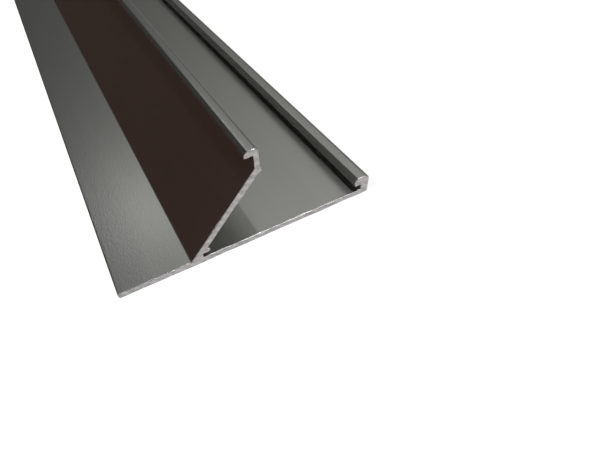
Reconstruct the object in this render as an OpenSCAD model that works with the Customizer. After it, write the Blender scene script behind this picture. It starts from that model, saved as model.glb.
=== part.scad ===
// Aluminium extrusion bar. One constant section: a flat base plate with a bare flange, a leaning
// web that ends in a hooked neck, and a hooked lip along the far edge. A nib at the web's foot and
// the lip face each other over the plate, so a thin panel slides in between them from either end.
//
// X runs across the section, Y along the bar and Z up. The origin is in the plane the bar lies
// on, at the middle of its width and of its length.

/* [Bar] */
// Length the stock is cut to
bar_len = 1000; // [100:50:3000]
// Width from the flange's edge to the lip's outer face
bar_w = 62; // [50:0.5:90]
// Thickness of the base plate
plate_t = 1.5; // [1.2:0.05:2.5]
// Radius on the bar's long outer edges
edge_r = 0.3; // [0.1:0.05:0.5]

/* [Leaning web] */
// Width of the bare flange beside the web
flange_w = 15.6; // [8:0.1:24]
// Thickness of the web
web_t = 1.5; // [1.2:0.05:1.8]
// Lean of the web, up from the plate
web_angle = 48; // [44:1:60]
// Height of the elbow's inner corner above the plate
elbow_h = 18.4; // [12:0.1:24]
// How far the rounded elbow swells past the faces it joins
elbow_swell = 0.2; // [0.1:0.05:0.3]
// Radius of the fillet between flange and web
foot_r = 0.5; // [0.2:0.05:1]

/* [Hooked neck] */
// Thickness of the upright neck
neck_t = 1.2; // [1.1:0.05:1.6]
// Clear height between the elbow and the hook's nose
mouth_h = 2.7; // [2:0.1:5]
// Thickness of the hook at its nose
hook_t = 1.8; // [1.6:0.05:2.5]
// Reach of the nose past the neck's inner face
hook_reach = 1.9; // [1.6:0.1:3]
// How much the hook's underside rises from nose to neck
hook_rise = 0.3; // [0.1:0.05:0.5]

/* [Panel grooves] */
// Height of the groove under the nib
nib_gap = 1; // [0.7:0.05:1.5]
// Depth of the groove under the nib
nib_groove_d = 1.8; // [1.4:0.1:2.4]
// Thickness of the nib
nib_t = 1.1; // [0.9:0.05:1.5]
// Height of the groove under the lip
lip_gap = 1.5; // [0.8:0.05:2]
// Depth of the groove under the lip
lip_groove_d = 2; // [1.6:0.1:2.6]

/* [Hooked lip] */
// Height of the lip above the plate
lip_h = 4; // [3.6:0.1:6]
// Thickness of the wall that closes the lip's groove
lip_wall_t = 2.2; // [2:0.1:4]
// Radius on the lip's outer shoulder
shoulder_r = 1.5; // [0.5:0.1:1.6]

/* [Hidden] */

$fn = 64;
deep = plate_t / 2; // how far a shape runs into the metal of the one it joins
small_r = 0.35; // lower corner of each hook's nose
nose_round = 0.55; // upper corner of each hook's nose, as a part of the hook's thickness

elbow_x = flange_w + elbow_h / tan(web_angle);
elbow_z = plate_t + elbow_h;
elbow_r = 0.47 * (web_t + elbow_swell);
lip_z = plate_t + lip_h;
lip_groove_x = bar_w - lip_wall_t;
nib_groove_x = web_x(plate_t + nib_gap / 2, 0.5) + web_t / 5;
panel_room = lip_groove_x - nib_groove_x; // widest panel the two grooves take
echo(panel_room = panel_room);

// Where the web is at a height above the floor: on its middle line, or off it towards the face
// over the panel by a share of the web's width at that height
function web_x(z, share = 0) =
    flange_w + (z - plate_t) / tan(web_angle) + (0.5 + share) * web_t / sin(web_angle);

// A rectangle between two opposite corners. Its four radii go round from the lower left corner
// to the lower right, upper right and upper left.
module slab(low, high, radii) {
    corners = [low, [high.x, low.y], high, [low.x, high.y]];
    inward = [[1, 1], [-1, 1], [-1, -1], [1, -1]];
    polygon([for (i = [0:3], k = [0:1])
        let (along_x = (i + k) % 2)
        corners[i] + radii[i] * [inward[i].x * along_x, inward[i].y * (1 - along_x)]]);
    for (i = [0:3]) intersection() {
        translate(corners[i] + radii[i] * inward[i]) circle(radii[i]);
        translate(corners[i] + radii[i] * [min(inward[i].x, 0), min(inward[i].y, 0)])
            square(radii[i]);
    }
}

// The plate ends inside the lip's wall
module plate() {
    slab([0, 0], [bar_w - lip_wall_t / 2, plate_t], [edge_r, small_r, small_r, edge_r]);
}

// The web's two faces run parallel from inside the plate to the elbow's inner corner
module web() {
    rise = [cos(web_angle), sin(web_angle)];
    across = web_t * [sin(web_angle), -cos(web_angle)];
    elbow = [elbow_x, elbow_z];
    polygon([[web_x(deep, -0.5), deep], [web_x(deep, 0.5), deep], elbow + across, elbow]);

    // The rounded outside of the elbow touches lines set off from both faces by the swell
    off_neck = neck_t + elbow_swell - elbow_r;
    off_web = web_t + elbow_swell - elbow_r;
    drop = (off_web - off_neck * sin(web_angle)) / cos(web_angle);
    translate(elbow + [off_neck, -drop]) circle(elbow_r);

    // Fillet in the open angle between flange and web
    reach = foot_r * tan(web_angle / 2);
    corner = [flange_w, plate_t];
    centre = corner + [-reach, foot_r];
    difference() {
        polygon([centre, centre - [0, foot_r + deep / 2], corner + [deep / 2, -deep / 2],
            corner + reach * rise + across / 2, corner + reach * rise]);
        translate(centre) circle(foot_r);
    }
}

// The hook's underside slopes up from the nose, so what is clipped in is drawn to the neck
module neck() {
    nose = [elbow_x - hook_reach, elbow_z + mouth_h];
    root = [elbow_x + neck_t / 2, nose.y + hook_rise];
    head_z = nose.y + hook_t;
    slab([elbow_x, elbow_z - deep], [elbow_x + neck_t, head_z],
        [small_r, small_r, 1.5 * small_r, small_r]);
    slab([nose.x, root.y], [root.x, head_z],
        [small_r, small_r, small_r, nose_round * (hook_t - hook_rise)]);
    polygon([root + [0, small_r], [nose.x, root.y + small_r], nose + [0, small_r],
        nose + [small_r, 0], root]);
    translate(nose + [small_r, small_r]) circle(small_r);
}

module nib() {
    low_z = plate_t + nib_gap;
    high_z = low_z + nib_t;
    tip_x = nib_groove_x + nib_groove_d;
    tip_r = 0.45 * nib_t;
    polygon([[web_x(deep), deep], [nib_groove_x, deep], [nib_groove_x, low_z],
        [tip_x - tip_r, low_z], [tip_x, low_z + tip_r], [tip_x, high_z - tip_r],
        [tip_x - tip_r, high_z], [web_x(high_z), high_z]]);
    for (z = [low_z + tip_r, high_z - tip_r]) translate([tip_x - tip_r, z]) circle(tip_r);
}

module lip() {
    slab([lip_groove_x, 0], [bar_w, lip_z], [small_r, 2 * edge_r, shoulder_r, small_r]);
    slab([lip_groove_x - lip_groove_d, plate_t + lip_gap], [bar_w - lip_wall_t / 2, lip_z],
        [small_r, small_r, small_r, nose_round * (lip_h - lip_gap)]);
}

module extrusion() {
    color("silver")
        rotate([90, 0, 0])
            linear_extrude(bar_len, center = true)
                translate([-bar_w / 2, 0]) {
                    plate();
                    web();
                    neck();
                    nib();
                    lip();
                }
}

extrusion();
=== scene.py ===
# %% [markdown]
# # A drawn aluminium bar
# The object is one length of extruded aluminium. Its section never changes, so the whole bar is
# one flat outline pushed along a straight path. The solid model of it is loaded first: it fixes
# the size and the place of everything that follows, all in metres.

import bpy
import numpy as np
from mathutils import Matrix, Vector
from mathutils.geometry import tessellate_polygon


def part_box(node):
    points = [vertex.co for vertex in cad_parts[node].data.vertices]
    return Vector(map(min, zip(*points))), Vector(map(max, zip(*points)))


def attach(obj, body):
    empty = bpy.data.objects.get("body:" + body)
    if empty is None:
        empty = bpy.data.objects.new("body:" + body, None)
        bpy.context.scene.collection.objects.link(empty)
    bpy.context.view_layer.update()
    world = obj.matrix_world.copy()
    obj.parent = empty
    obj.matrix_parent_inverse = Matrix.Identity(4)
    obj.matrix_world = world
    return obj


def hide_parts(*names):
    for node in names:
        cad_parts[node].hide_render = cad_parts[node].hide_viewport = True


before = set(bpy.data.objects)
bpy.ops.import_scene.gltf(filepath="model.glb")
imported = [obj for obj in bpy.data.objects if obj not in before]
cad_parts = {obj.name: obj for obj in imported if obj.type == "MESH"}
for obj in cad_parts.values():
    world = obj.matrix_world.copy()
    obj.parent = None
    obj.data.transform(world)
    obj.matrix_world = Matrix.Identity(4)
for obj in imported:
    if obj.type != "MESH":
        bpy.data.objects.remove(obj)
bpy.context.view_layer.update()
low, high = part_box("extrusion")
WIDTH = high.x - low.x
print("bar, in mm:", [round(1000 * side) for side in high - low])

# %% [markdown]
# ## The camera
# The view looks down on one sawn end, from so near that the lines of the bar run together
# quickly. A short lens close to a thing does that, and a long lens far away doesn't. The camera
# hangs over the end at a distance given in widths of the bar, and turning it with
# `to_track_quat` keeps its horizon level. Its near clipping distance has to come down from
# Blender's 10 cm, because the bar is nearer than that.

# %% Hang the camera over the sawn end
PLATE_T = 0.0015
LENS_MM = 24.13
NEAREST_SEEN = 0.002
PLACE_IN_WIDTHS = Vector((0.1443, -0.8953, 1.0970))
LOOK = Vector((0.339, 0.566, -0.751))
near_corner = Vector((low.x, low.y, PLATE_T))

camera = bpy.data.objects.new("camera", bpy.data.cameras.new("camera"))
camera.data.lens = LENS_MM
camera.data.clip_start = NEAREST_SEEN
camera.location = near_corner + WIDTH * PLACE_IN_WIDTHS
camera.rotation_mode = "QUATERNION"
camera.rotation_quaternion = LOOK.to_track_quat("-Z", "Y")
bpy.context.scene.collection.objects.link(camera)
bpy.context.scene.camera = camera
print("camera is", round(1000 * (camera.location - near_corner).length), "mm from the corner")

# %% [markdown]
# ## Writing a material as sums
# A node tree is easier to read as arithmetic than as boxes and wires. The small class below
# wraps one socket, and each operator on it adds the Math node that does that sum.

# %% A socket that does arithmetic
class Value:
    """One output socket of a node tree. Each +, - and * adds a Math node to the tree."""

    def __init__(self, tree, socket):
        self.tree, self.socket = tree, socket

    def node(self, kind, sockets=None, out=0, **settings):
        """Adds a node: its settings first, then the values or links of its sockets."""
        made = self.tree.nodes.new(kind)
        for key, value in settings.items():
            setattr(made, key, value)
        for key, value in (sockets or {}).items():
            if isinstance(value, Value):
                self.tree.links.new(value.socket, made.inputs[key])
            else:
                made.inputs[key].default_value = value
        return Value(self.tree, made.outputs[out])

    def math(self, operation, a, b=0.0, clamp=False):
        """A Math node, by the name of its operation."""
        return self.node("ShaderNodeMath", {0: a, 1: b}, operation=operation, use_clamp=clamp)

    def __add__(self, other):
        return self.math("ADD", self, other)

    def __radd__(self, other):
        return self.math("ADD", other, self)

    def __sub__(self, other):
        return self.math("SUBTRACT", self, other)

    def __rsub__(self, other):
        return self.math("SUBTRACT", other, self)

    def __mul__(self, other):
        return self.math("MULTIPLY", self, other)

    def __rmul__(self, other):
        return self.math("MULTIPLY", other, self)

    def clamped(self):
        """This value, kept from 0 to 1."""
        return self.math("ADD", self, 0.0, clamp=True)

    def stretched(self, x, y, z):
        """A vector with each of its axes multiplied by a number."""
        return self.node("ShaderNodeVectorMath", {0: self, 1: (x, y, z)}, operation="MULTIPLY")

    def noise(self, x, y, z, detail=2.0, roughness=0.5):
        """Noise from 0 to 1 whose lumps are 1/x, 1/y and 1/z metres long."""
        return self.node("ShaderNodeTexNoise", {"Vector": self.stretched(x, y, z), "Scale": 1.0,
            "Detail": detail, "Roughness": roughness}, noise_dimensions="3D")

    def step(self, start, end, before=0.0, after=1.0):
        """A soft step: one level before start, another after end, an S-curve between them."""
        return self.node("ShaderNodeMapRange", {"Value": self, "From Min": start, "From Max": end,
            "To Min": before, "To Max": after}, interpolation_type="SMOOTHSTEP")

    def between(self, dark, light):
        """A colour: dark where this value is 0, light where it is 1."""
        return self.node("ShaderNodeMix", {"Factor": self.clamped(), 6: (*dark, 1), 7: (*light, 1)},
            out=2, data_type="RGBA")

# %% [markdown]
# Every finish below starts from the same Principled shader. What is the same all over a surface
# is set straight on the shader's sockets, and only what varies is linked.

# %% Helpers for materials
def new_material(name, **constants):
    """A Principled material with constants set on its own sockets, and its Object coordinates."""
    material = bpy.data.materials.new(name)
    material.use_nodes = True
    tree = material.node_tree
    shader = tree.nodes["Principled BSDF"]
    for key, value in constants.items():
        shader.inputs[key.replace("_", " ")].default_value = value
    place = Value(tree, tree.nodes.new("ShaderNodeTexCoord").outputs["Object"])
    return material, shader, place


def plug(shader, **sockets):
    """Links values to the sockets of a shader."""
    for key, value in sockets.items():
        value.tree.links.new(value.socket, shader.inputs[key.replace("_", " ")])


def bump(height, depth):
    """The normal of a surface whose relief is height, from 0 to 1, times depth in metres."""
    return height.node("ShaderNodeBump", {"Height": height, "Distance": depth, "Strength": 1.0})

# %% [markdown]
# ## Floor and light
# Smooth metal has hardly any shade of its own: it shows what stands around it. So the light is
# set by what the bar has to mirror. One soft box past the far end gives the glow on the flange,
# and one over the near end the glints on the rims. The sun is nearly overhead, where the metal
# mirrors it away from the camera, so it only lifts the metal a little and draws the web's shadow
# on the plate. The sun is for the metal alone and doesn't light matt surfaces. The side fill is
# the other way round: it is hidden from reflections and lights only what isn't metal, which is
# the dark brown faces and the floor. No real lamp does either of these, so the finishes further
# down are tuned to this stage.

# %% Hang the lights
BOX_DISTANCE = 2

def add_light(name, kind, power, place, aim=Vector((0, 0, 0)), **settings):
    """A light at a place, turned towards its aim. A sun's place gives only its direction."""
    light = bpy.data.objects.new(name, bpy.data.lights.new(name, kind))
    light.data.energy = power
    for key, value in settings.items():
        setattr(light.data, key, value)
    light.location = place
    light.rotation_mode = "QUATERNION"
    light.rotation_quaternion = (aim - place).to_track_quat("-Z", "Y")
    bpy.context.scene.collection.objects.link(light)
    return light

sun = add_light("overhead_sun", "SUN", 1.2, Vector((0.12, 0.15, 1.0)), angle=np.radians(2))
sun.visible_diffuse = False

fill = add_light("side_fill", "SUN", 4.1, Vector((-0.743, 0, 0.669)), angle=np.radians(30))
fill.visible_glossy = False

glow_towards = Vector((0.030, 0.743, 0.669))
add_light("glow_box", "AREA", 0.32, near_corner + BOX_DISTANCE * glow_towards,
          aim=near_corner, shape="DISK", size=0.24)
rim_towards = Vector((0.34, -0.75, 0.56))
add_light("rim_box", "AREA", 12.0, near_corner + BOX_DISTANCE * rim_towards,
          aim=near_corner, shape="DISK", size=0.50)

# %% [markdown]
# The sky could be one even grey, but then every face of a mirror would be that grey. Past the far
# end it is dim and darkens to the left, towards the horizon and straight overhead. That gives the
# slow change from light to dark along the bar, and leaves the rounded edges black. Over the near
# end it is paler, for the filed rims and for whoever looks from behind. The camera doesn't see
# this sky: a Light Path node shows it a white backdrop instead.

# %% Paint the sky
BACKDROP, FAR_SKY, NEAR_SKY, DARKEST = 1.0, 0.46, 0.35, 0.032
world = bpy.data.worlds.new("dim_sky")
world.use_nodes = True
sky_tree = world.node_tree
towards = Value(sky_tree, sky_tree.nodes.new("ShaderNodeTexCoord").outputs["Generated"])
x, y, z = (towards.node("ShaderNodeSeparateXYZ", {0: towards}, out=k) for k in range(3))
far_sky = FAR_SKY * x.step(-0.35, 0.55, 0.03, 1) * z.step(0.12, 0.74, 0.10, 1)
far_sky = far_sky * z.step(0.72, 0.86, 1, 0.35)
far_sky = far_sky.math("MAXIMUM", far_sky, DARKEST)
near_sky = NEAR_SKY * z.step(0.0, 0.2)
nearness = y.step(-0.45, 0.15, 1, 0)
mirrored = far_sky + (near_sky - far_sky) * nearness
seen = towards.node("ShaderNodeLightPath", out="Is Camera Ray")
brightness = mirrored + (BACKDROP - mirrored) * seen
sky_tree.links.new(brightness.socket, sky_tree.nodes["Background"].inputs["Strength"])
colour = seen.between((1, 1, 0.955), (1, 1, 1))
sky_tree.links.new(colour.socket, sky_tree.nodes["Background"].inputs["Color"])
bpy.context.scene.world = world
bpy.context.scene.view_settings.view_transform = "Standard"
print("sky:", len(sky_tree.nodes), "nodes")

# %% [markdown]
# The floor is a light table: it glows a little, as frosted glass over lamps does. That keeps it
# pale with so little light on it, and leaves hardly a shadow. On both sides of the bar it is dim
# in reflections only, as if black card lay along the bar where no one sees it. Such card is called
# a flag, and it gives shiny metal its dark edges.

# %% Lay the floor
FLOOR_HALF, FLOOR_GAP = 40.0, 0.00005
FLOOR_GLOW, FLOOR_PALE = 0.86, 0.2
CARD_SOFT, LEFT_CARD, RIGHT_CARD = 0.006, 0.95, 0.72
floor_corners = [(side_x * FLOOR_HALF, side_y * FLOOR_HALF, low.z - FLOOR_GAP)
                 for side_x, side_y in ((-1, -1), (1, -1), (1, 1), (-1, 1))]
floor_mesh = bpy.data.meshes.new("floor")
floor_mesh.from_pydata(floor_corners, [], [(0, 1, 2, 3)])
floor = bpy.data.objects.new("floor", floor_mesh)
bpy.context.scene.collection.objects.link(floor)

pale, shader, place = new_material("pale_floor", Roughness=1.0, Specular_IOR_Level=0.0,
                                   Emission_Strength=FLOOR_GLOW)
x, y = (place.node("ShaderNodeSeparateXYZ", {0: place}, out=k) for k in range(2))
edge = WIDTH / 2
left_card = x.step(-edge - CARD_SOFT, -edge, LEFT_CARD, 0)
right_card = x.step(edge, edge + CARD_SOFT, 0, RIGHT_CARD)
along_bar = y.step(low.y - 0.005, low.y + 0.02)
in_mirror = place.node("ShaderNodeLightPath", out="Is Glossy Ray")
flagged = 1 - (left_card + right_card) * along_bar * in_mirror
plug(shader, Base_Color=flagged.between((0, 0, 0), (FLOOR_PALE, FLOOR_PALE, FLOOR_PALE)),
     Emission_Color=flagged.between((0, 0, 0), (1, 1, 1)))
floor.data.materials.append(pale)
print("floor is", round(1000 * FLOOR_GAP, 2), "mm under the bar")

# %% [markdown]
# ## The section's outline
# Real extrusions have no knife edges: the die rounds every corner. So the outline is a list of
# corners, each with its own radius, and one function turns each corner into an arc. The elbow
# is a little fatter than the walls that meet there, and gets an arc of its own.

# %% Round a corner
def corner_arc(before, corner, after, radius, steps=10):
    """The arc that touches both lines of a corner. Its tangent points lie radius / tan(half the
    corner's angle) from the corner, and its centre is on the bisector."""
    before, corner, after = (np.array(p, float) for p in (before, corner, after))
    back, on = before - corner, after - corner
    back, on = back / np.linalg.norm(back), on / np.linalg.norm(on)
    half = np.arccos(np.clip(back @ on, -1, 1)) / 2
    centre = corner + (back + on) / np.linalg.norm(back + on) * radius / np.sin(half)
    start, end = (corner + side * radius / np.tan(half) - centre for side in (back, on))
    sweep = np.arctan2(start[0] * end[1] - start[1] * end[0], start @ end)
    turn = np.linspace(0, sweep, steps)
    return centre + np.stack([start[0] * np.cos(turn) - start[1] * np.sin(turn),
                              start[0] * np.sin(turn) + start[1] * np.cos(turn)], 1)

square = corner_arc((1, 0), (0, 0), (0, 1), 0.5)
print("a right angle's arc of radius 0.5 starts", square[0].round(3), "and ends", square[-1].round(3))

# %% [markdown]
# The walls' sizes are those of the solid model, repeated here in millimetres because the frame
# gives only the bar's box. The width comes from that box, and the head's height is printed beside
# the box's own. The hook's head is not flat: its back corner is rounded off, and its top slopes
# down a little to the nose, so that it catches the light in a narrow band.

# %% The section's sizes, in millimetres
W = 1000 * WIDTH
T = 1000 * PLATE_T
FLANGE, WEB_T, LEAN, ELBOW_H, SWELL = 15.6, 1.5, np.radians(48), 18.4, 0.2
NECK_T, MOUTH, HOOK_T, HOOK_REACH, HOOK_RISE = 1.2, 2.7, 1.8, 1.9, 0.3
NIB_GAP, NIB_D, NIB_T = 1.0, 1.8, 1.1
LIP_H, LIP_WALL, LIP_GAP, LIP_D, SHOULDER = 4.0, 2.2, 1.5, 2.0, 1.5
EDGE_R, NOSE_R, INNER_R = 0.3, 0.35, 0.12
HEAD_R, CROWN_R, CROWN_W, CROWN_DROP = 1.0, 1.1, 1.6, 0.16
HOOK_NOSE_R, FOOT_R, NIB_ROOT_R = 0.9 * NOSE_R, 0.5, 0.05
LIP_ROUND, NIB_ROUND, ELBOW_ROUND = 0.42, 0.45, 0.47

rise = np.array([np.cos(LEAN), np.sin(LEAN)])
across = np.array([np.sin(LEAN), -np.cos(LEAN)])
elbow = np.array([FLANGE + ELBOW_H / np.tan(LEAN), T + ELBOW_H])
elbow_r = ELBOW_ROUND * (WEB_T + SWELL)

def web_x(z, share=0.5):
    """How far right the web is at height z: FLANGE, plus the height over the plate divided by
    the lean's tangent, plus a share of the wall measured along the level. A share of 0.5 is the
    panel side, 0 the middle and -0.5 the flange side."""
    return FLANGE + (z - T) / np.tan(LEAN) + (0.5 + share) * WEB_T / np.sin(LEAN)

groove_x = web_x(T + NIB_GAP / 2) + WEB_T / 5
lip_x = W - LIP_WALL
nose = elbow + [-HOOK_REACH, MOUTH]
head_z = nose[1] + HOOK_T
under = nose[1] + HOOK_RISE * (HOOK_REACH - NOSE_R) / (HOOK_REACH - NOSE_R + NECK_T / 2)
print("height of the head:", round(head_z, 2), "mm; of the frame:", round(1000 * high.z, 2))

# %% [markdown]
# The elbow's arc starts and ends where its circle cuts the two outer faces. Everything else is
# corners, listed once round the metal from the lower left, anticlockwise.

# %% The elbow's arc
off_neck, off_web = (t + SWELL - elbow_r for t in (NECK_T, WEB_T))
drop = (off_web - off_neck * np.sin(LEAN)) / np.cos(LEAN)
middle = elbow + [off_neck, -drop]
chord = np.sqrt(elbow_r**2 - (elbow_r - SWELL) ** 2)
on_web = middle + across * (elbow_r - SWELL) - rise * chord
on_neck = middle + [elbow_r - SWELL, chord]
turn = np.linspace(*(np.arctan2(*(p - middle)[::-1]) for p in (on_web, on_neck)), 14)
elbow_arc = middle + elbow_r * np.stack([np.cos(turn), np.sin(turn)], 1)
print("elbow's arc: radius", round(elbow_r, 3), "mm,", len(elbow_arc), "points")

# %% [markdown]
# The outline could be drawn point by point, but then no size could be changed. As a list of
# corners, each place is worked out from the sizes above, and the radii stand next to their corners.

# %% The closed outline
tip_x = groove_x + NIB_D
nib_top = T + NIB_GAP + NIB_T
corners = [
    ((0, 0), EDGE_R), ((W, 0), 2 * EDGE_R), ((W, T + LIP_H), SHOULDER),
    ((lip_x - LIP_D, T + LIP_H), LIP_ROUND * (LIP_H - LIP_GAP)),
    ((lip_x - LIP_D, T + LIP_GAP), NOSE_R),
    ((lip_x, T + LIP_GAP), INNER_R), ((lip_x, T), INNER_R),
    ((groove_x, T), INNER_R), ((groove_x, T + NIB_GAP), 2 * INNER_R),
    ((tip_x, T + NIB_GAP), NIB_ROUND * NIB_T), ((tip_x, nib_top), NIB_ROUND * NIB_T),
    ((web_x(nib_top), nib_top), NIB_ROOT_R),
    (elbow_arc, None),
    ((elbow[0] + NECK_T, head_z), HEAD_R), ((nose[0] + CROWN_W, head_z), 2 * CROWN_R),
    ((nose[0], head_z - CROWN_DROP), CROWN_R), (tuple(nose), HOOK_NOSE_R),
    ((elbow[0], under), INNER_R), (elbow, INNER_R),
    ((FLANGE, T), FOOT_R), ((0, T), EDGE_R),
]

def outline(corners):
    """The closed outline as one list of arcs: corner_arc of each corner, and any ready-made arc as
    it is. The lines of a corner run to the last point before it and the first point after it."""
    ends = [(np.atleast_2d(p)[0], np.atleast_2d(p)[-1]) for p, _ in corners]
    arcs = []
    for i, (p, radius) in enumerate(corners):
        last, following = ends[i - 1][1], ends[(i + 1) % len(ends)][0]
        arcs.append(p if radius is None else corner_arc(last, p, following, radius))
    return arcs

ring = np.concatenate(outline(corners))
print(len(ring), "points; width and height:", np.ptp(ring, 0).round(3), "mm")

# %% [markdown]
# ## Die lines
# Metal that is squeezed through a steel die keeps a faint copy of every scratch in the die, as
# lines that run the whole length of the bar. The straight walls are therefore cut into narrow
# strips, and each point of the outline is pushed in by up to a hundredth of a millimetre or so.

# %% Cut the straight walls into strips
STRIP = 0.3

def divided(points, longest):
    """The closed outline with points added so that no side is longer than this. Each side is cut
    into equal parts, and the points are found by their distance along the outline."""
    loop = np.vstack([points, points[:1]])
    sides = np.linalg.norm(np.diff(loop, axis=0), axis=1)
    along = np.concatenate([[0], np.cumsum(sides)])
    parts = np.maximum(1, np.ceil(sides / longest)).astype(int)
    index = np.repeat(np.arange(len(sides)), parts)
    step = np.arange(parts.sum()) - np.repeat(np.cumsum(parts) - parts, parts)
    at = along[index] + sides[index] * step / parts[index]
    return np.stack([np.interp(at, along, loop[:, k]) for k in (0, 1)], 1)

ring = divided(ring, STRIP)
print(len(ring), "points round the section")

# %% [markdown]
# The lines are random, as scratches are, but from a seed, so that every run draws the same ones.
# Two widths are mixed: lines one strip wide, and soft waves several strips wide.

# %% Draw the die lines
FINE_LINES, WIDE_LINES = 0.0015, 0.006
rng = np.random.default_rng(7)

def outward(points):
    """Unit normals of a closed anticlockwise outline: the chord from the point before to the
    point after, turned a quarter turn clockwise."""
    chord = np.roll(points, -1, 0) - np.roll(points, 1, 0)
    normal = np.stack([chord[:, 1], -chord[:, 0]], 1)
    return normal / np.linalg.norm(normal, axis=1, keepdims=True)

def smooth_noise(n, width):
    """Random numbers round a closed line, averaged under a bell curve this many points wide, and
    divided by the greatest so that they stay from -1 to 1."""
    bell = np.exp(-0.5 * (np.arange(-3 * width, 3 * width + 1) / width) ** 2)
    raw = rng.standard_normal(n)
    wide = np.convolve(np.concatenate([raw] * 3), bell, "same")[n:2 * n]
    return wide / np.abs(wide).max()

normal = outward(ring)
relief = FINE_LINES * smooth_noise(len(ring), 1) + WIDE_LINES * smooth_noise(len(ring), 6)
ring = ring + normal * (relief - relief.max())[:, None]
print("die lines up to", round(1000 * np.ptp(relief), 1), "thousandths of a millimetre deep")

# %% [markdown]
# ## The bar
# The bar is a grid of points: one parameter goes round the outline, the other along the length.
# Just at the saw cut the outline shrinks a little, as the file leaves it, and its amount wavers.
# The rim takes two of the rings, two more close behind it keep its shading off the walls, and the
# others only divide the length. Both ends are closed by triangles across the outline.

# %% Sweep the outline along the bar
FILED = 0.24
length = 1000 * (high.y - low.y)
stations = np.array([0, 0, 0.02, 0.04, 40, 150])
stations = np.concatenate([stations, [length / 2], length - stations[::-1]])

def swept(ring, stations):
    """A grid of points: ring's points at each station along Y, in metres. The end rings are drawn
    in along the outline's normals by a wavering depth, and the three rings next to them stand
    back by the same depth, so the filed edge is at 45 degrees and only its width changes."""
    n, m = len(ring), len(stations)
    depth = FILED * (0.5 + 0.5 * smooth_noise(n, 5))
    inset = np.zeros((m, n))
    inset[[0, -1]] = depth
    y = np.repeat(stations[:, None], n, axis=1)
    y[1:4] += depth
    y[-4:-1] -= depth
    section = ring[None] - normal[None] * inset[..., None]
    return np.stack([section[..., 0] - W / 2, y - length / 2, section[..., 1]], -1) / 1000

points = swept(ring, stations)
m, n = points.shape[:2]
i, j = np.meshgrid(np.arange(m - 1), np.arange(n), indexing="ij")
k = (j + 1) % n
sides = np.stack([i * n + j, i * n + k, (i + 1) * n + k, (i + 1) * n + j], -1).reshape(-1, 4)
print("grid of", m, "by", n, "points")

# %% [markdown]
# A face with hundreds of corners and a hollow shape is hard on a renderer, so the two ends are cut
# into triangles. Some may come out the wrong way round: those with a negative area are turned.

# %% Close both ends
cap = np.array(tessellate_polygon([[Vector((x, z, 0)) for x, _, z in points[0]]]))
triangle = points[0][:, [0, 2]][cap]
area = np.cross(triangle[:, 1] - triangle[:, 0], triangle[:, 2] - triangle[:, 0])
cap = np.where(area[:, None] > 0, cap, cap[:, ::-1])
front, back = cap, cap[:, ::-1] + (m - 1) * n

mesh = bpy.data.meshes.new("bar")
mesh.from_pydata(points.reshape(-1, 3).tolist(), [],
                 sides.tolist() + front.tolist() + back.tolist())
print("bar:", len(mesh.vertices), "vertices,", len(mesh.polygons), "faces")

# %% [markdown]
# Three materials share the one mesh: the bare drawn metal, a dark brown, and the sawn ends. The
# dark brown has no thickness to see, so it is a choice of faces and not a piece of its own. It
# covers the web's face over the flange. It also covers the inside of the hook's mouth, where it is
# painted shade under the hook, and the outer side of the hook's nose, where it is a painted dark
# reflection in place of what the metal there would mirror. Each face gets its material by where
# it lies on the outline and where it faces.

# %% Give each face its material
DRAWN, DARK_BROWN_AND_SHADE, SAWN = 0, 1, 2
BROWN_START, ELBOW_SLACK = 0.12, 0.3
following = np.roll(ring, -1, 0)
mid = (ring + following) / 2
facing = np.stack([following[:, 1] - ring[:, 1], ring[:, 0] - following[:, 0]], 1)
facing /= np.linalg.norm(facing, axis=1, keepdims=True)
flange_side = ((mid - elbow) @ across < ELBOW_SLACK) & (mid[:, 0] > FLANGE)
above_foot = mid[:, 1] > T + BROWN_START
not_right_or_up = (facing[:, 0] < 0.5) & (facing[:, 1] < 0.7)
in_mouth = mid[:, 1] < nose[1] + HOOK_RISE
on_nose = facing[:, 0] < -0.88
# Dark brown on the web's face; in the hook's mouth it is painted shade, and on the nose's outer side
# a painted dark reflection.
is_dark_brown_and_painted_shade = flange_side & above_foot & not_right_or_up & (in_mouth | on_nose)
is_rim = (i == 0) | (i == m - 2)
face_material = np.concatenate([np.where(is_rim, SAWN, np.where(is_dark_brown_and_painted_shade[j], DARK_BROWN_AND_SHADE, DRAWN)).ravel(),
                         np.full(len(front) + len(back), SAWN)])
mesh.polygons.foreach_set("material_index", face_material.astype(np.int32))
mesh.polygons.foreach_set("use_smooth", face_material != SAWN)
mesh.validate()
mesh.update()
bar = bpy.data.objects.new("extruded_bar", mesh)
bpy.context.scene.collection.objects.link(bar)
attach(bar, "root")
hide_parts("extrusion")
print("coated strips:", int(is_dark_brown_and_painted_shade.sum()))

# %% [markdown]
# ## The drawn metal
# Bare drawn aluminium is a blurred mirror with a faint grain. Geometry that fine would need
# millions of faces, so the grain is noise whose lumps are longer along the bar than across it. A
# little of it goes into the colour, and most into a bump three hundredths of a millimetre deep,
# which breaks the glow into specks. Fine streaks and wider bands run along the bar as the die
# lines do, and vary the colour and the roughness. The roughness stays above 0.274, because below
# that the renderer's denoiser turns this grain into false hairlines.

# %% Drawn metal
GRAIN_DEPTH, BLUR = 0.00003, 0.29
drawn, shader, place = new_material("drawn_aluminium", Metallic=1.0)
grain = place.noise(3200, 1000, 3200, detail=3, roughness=0.65)
streak = place.noise(1500, 1, 1500)
band = place.noise(260, 5, 260, detail=2)
tone = 0.5 + 0.25 * (streak - 0.5) + 0.4 * (band - 0.5) + 0.4 * (grain - 0.5)
plug(shader, Base_Color=tone.between((0.51, 0.515, 0.492), (0.57, 0.575, 0.55)),
     Roughness=(BLUR + 0.02 * (streak - 0.5) + 0.02 * (band - 0.5)).clamped(),
     Normal=bump(grain, GRAIN_DEPTH))
print("drawn metal: grain", round(1000 * GRAIN_DEPTH, 3), "mm deep, roughness about", BLUR)
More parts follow.
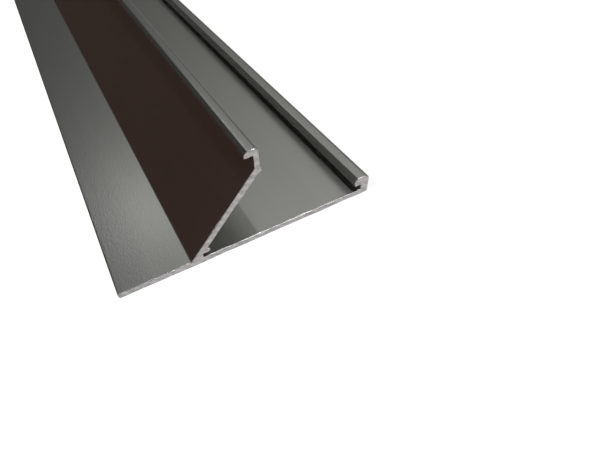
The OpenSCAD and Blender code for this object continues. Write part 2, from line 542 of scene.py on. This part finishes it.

# %% [markdown]
# ## The dark brown, with painted shade
# The web's face is a deep brown. The same material is painted shade in the hook's mouth and a
# painted dark reflection on the nose's outer side. It could be brown metal, but a matt base keeps
# its colour from every side, where metal only colours what it mirrors. So it is a matt base with a
# weak, reddish gloss. Soft clouds and a fine grain keep it from looking like paper.

# %% Dark brown, with painted shade
BROWN_BUMP_DEPTH, BROWN_BLUR = 0.00001, 0.58
dark_brown_and_shade, shader, place = new_material("dark_brown_and_painted_shade", Metallic=0.0, Specular_IOR_Level=0.8,
                                   Specular_Tint=(1.0, 0.70, 0.62, 1))
cloud = place.noise(160, 30, 160, detail=3)
grain = place.noise(3800, 900, 3800, detail=2)
tone = 0.5 + 0.6 * (cloud - 0.5) + 0.5 * (grain - 0.5)
# This brown is also painted shade in the hook's mouth and a painted dark reflection on the nose's
# outer side.
plug(shader, Base_Color=tone.between((0.0095, 0.0052, 0.0039), (0.0170, 0.0093, 0.0073)),
     Roughness=(BROWN_BLUR + 0.2 * (grain - 0.5)).clamped(),
     Normal=bump(0.5 * grain + 0.5 * cloud, BROWN_BUMP_DEPTH))
print("coat: skin", round(1000 * BROWN_BUMP_DEPTH, 3), "mm deep, roughness about", BROWN_BLUR)

# %% [markdown]
# ## The sawn ends
# A circular saw leaves shallow arcs about its own axle. They could be drawn one by one, but the
# distance from the axle, wrapped into a sine, gives them all at once and evenly spaced. Noise
# breaks them up, and coarser patches show where the blade smeared the metal.

# %% Sawn metal
SAW_AXLE = (0.06, 0.0, 0.13)
TOOTH_STEP = 0.00045
SAW_DEPTH, SAW_BLUR = 0.00004, 0.38
sawn, shader, place = new_material("sawn_aluminium", Metallic=1.0)
reach = place.node("ShaderNodeVectorMath", {0: place, 1: SAW_AXLE}, out=1, operation="DISTANCE")
chatter = place.noise(700, 700, 700, detail=2)
mark = 0.5 + 0.5 * place.math("SINE", reach * (2 * np.pi / TOOTH_STEP) + 7 * chatter)
smear = place.noise(2600, 2600, 2600, detail=2)
patch = place.noise(800, 800, 800, detail=3, roughness=0.6)
tone = 0.5 + 0.8 * (smear - 0.5) + 0.3 * (mark - 0.5) + 1.6 * (patch - 0.5)
plug(shader, Base_Color=tone.between((0.22, 0.209, 0.208), (0.48, 0.463, 0.463)),
     Roughness=(SAW_BLUR + 0.25 * (smear - 0.5) + 0.2 * (patch - 0.5)).clamped(),
     Normal=bump(0.45 * mark + 0.35 * smear + 0.2 * patch, SAW_DEPTH))

for material in (drawn, dark_brown_and_shade, sawn):
    bar.data.materials.append(material)
print("finishes:", [material.name for material in bar.data.materials])
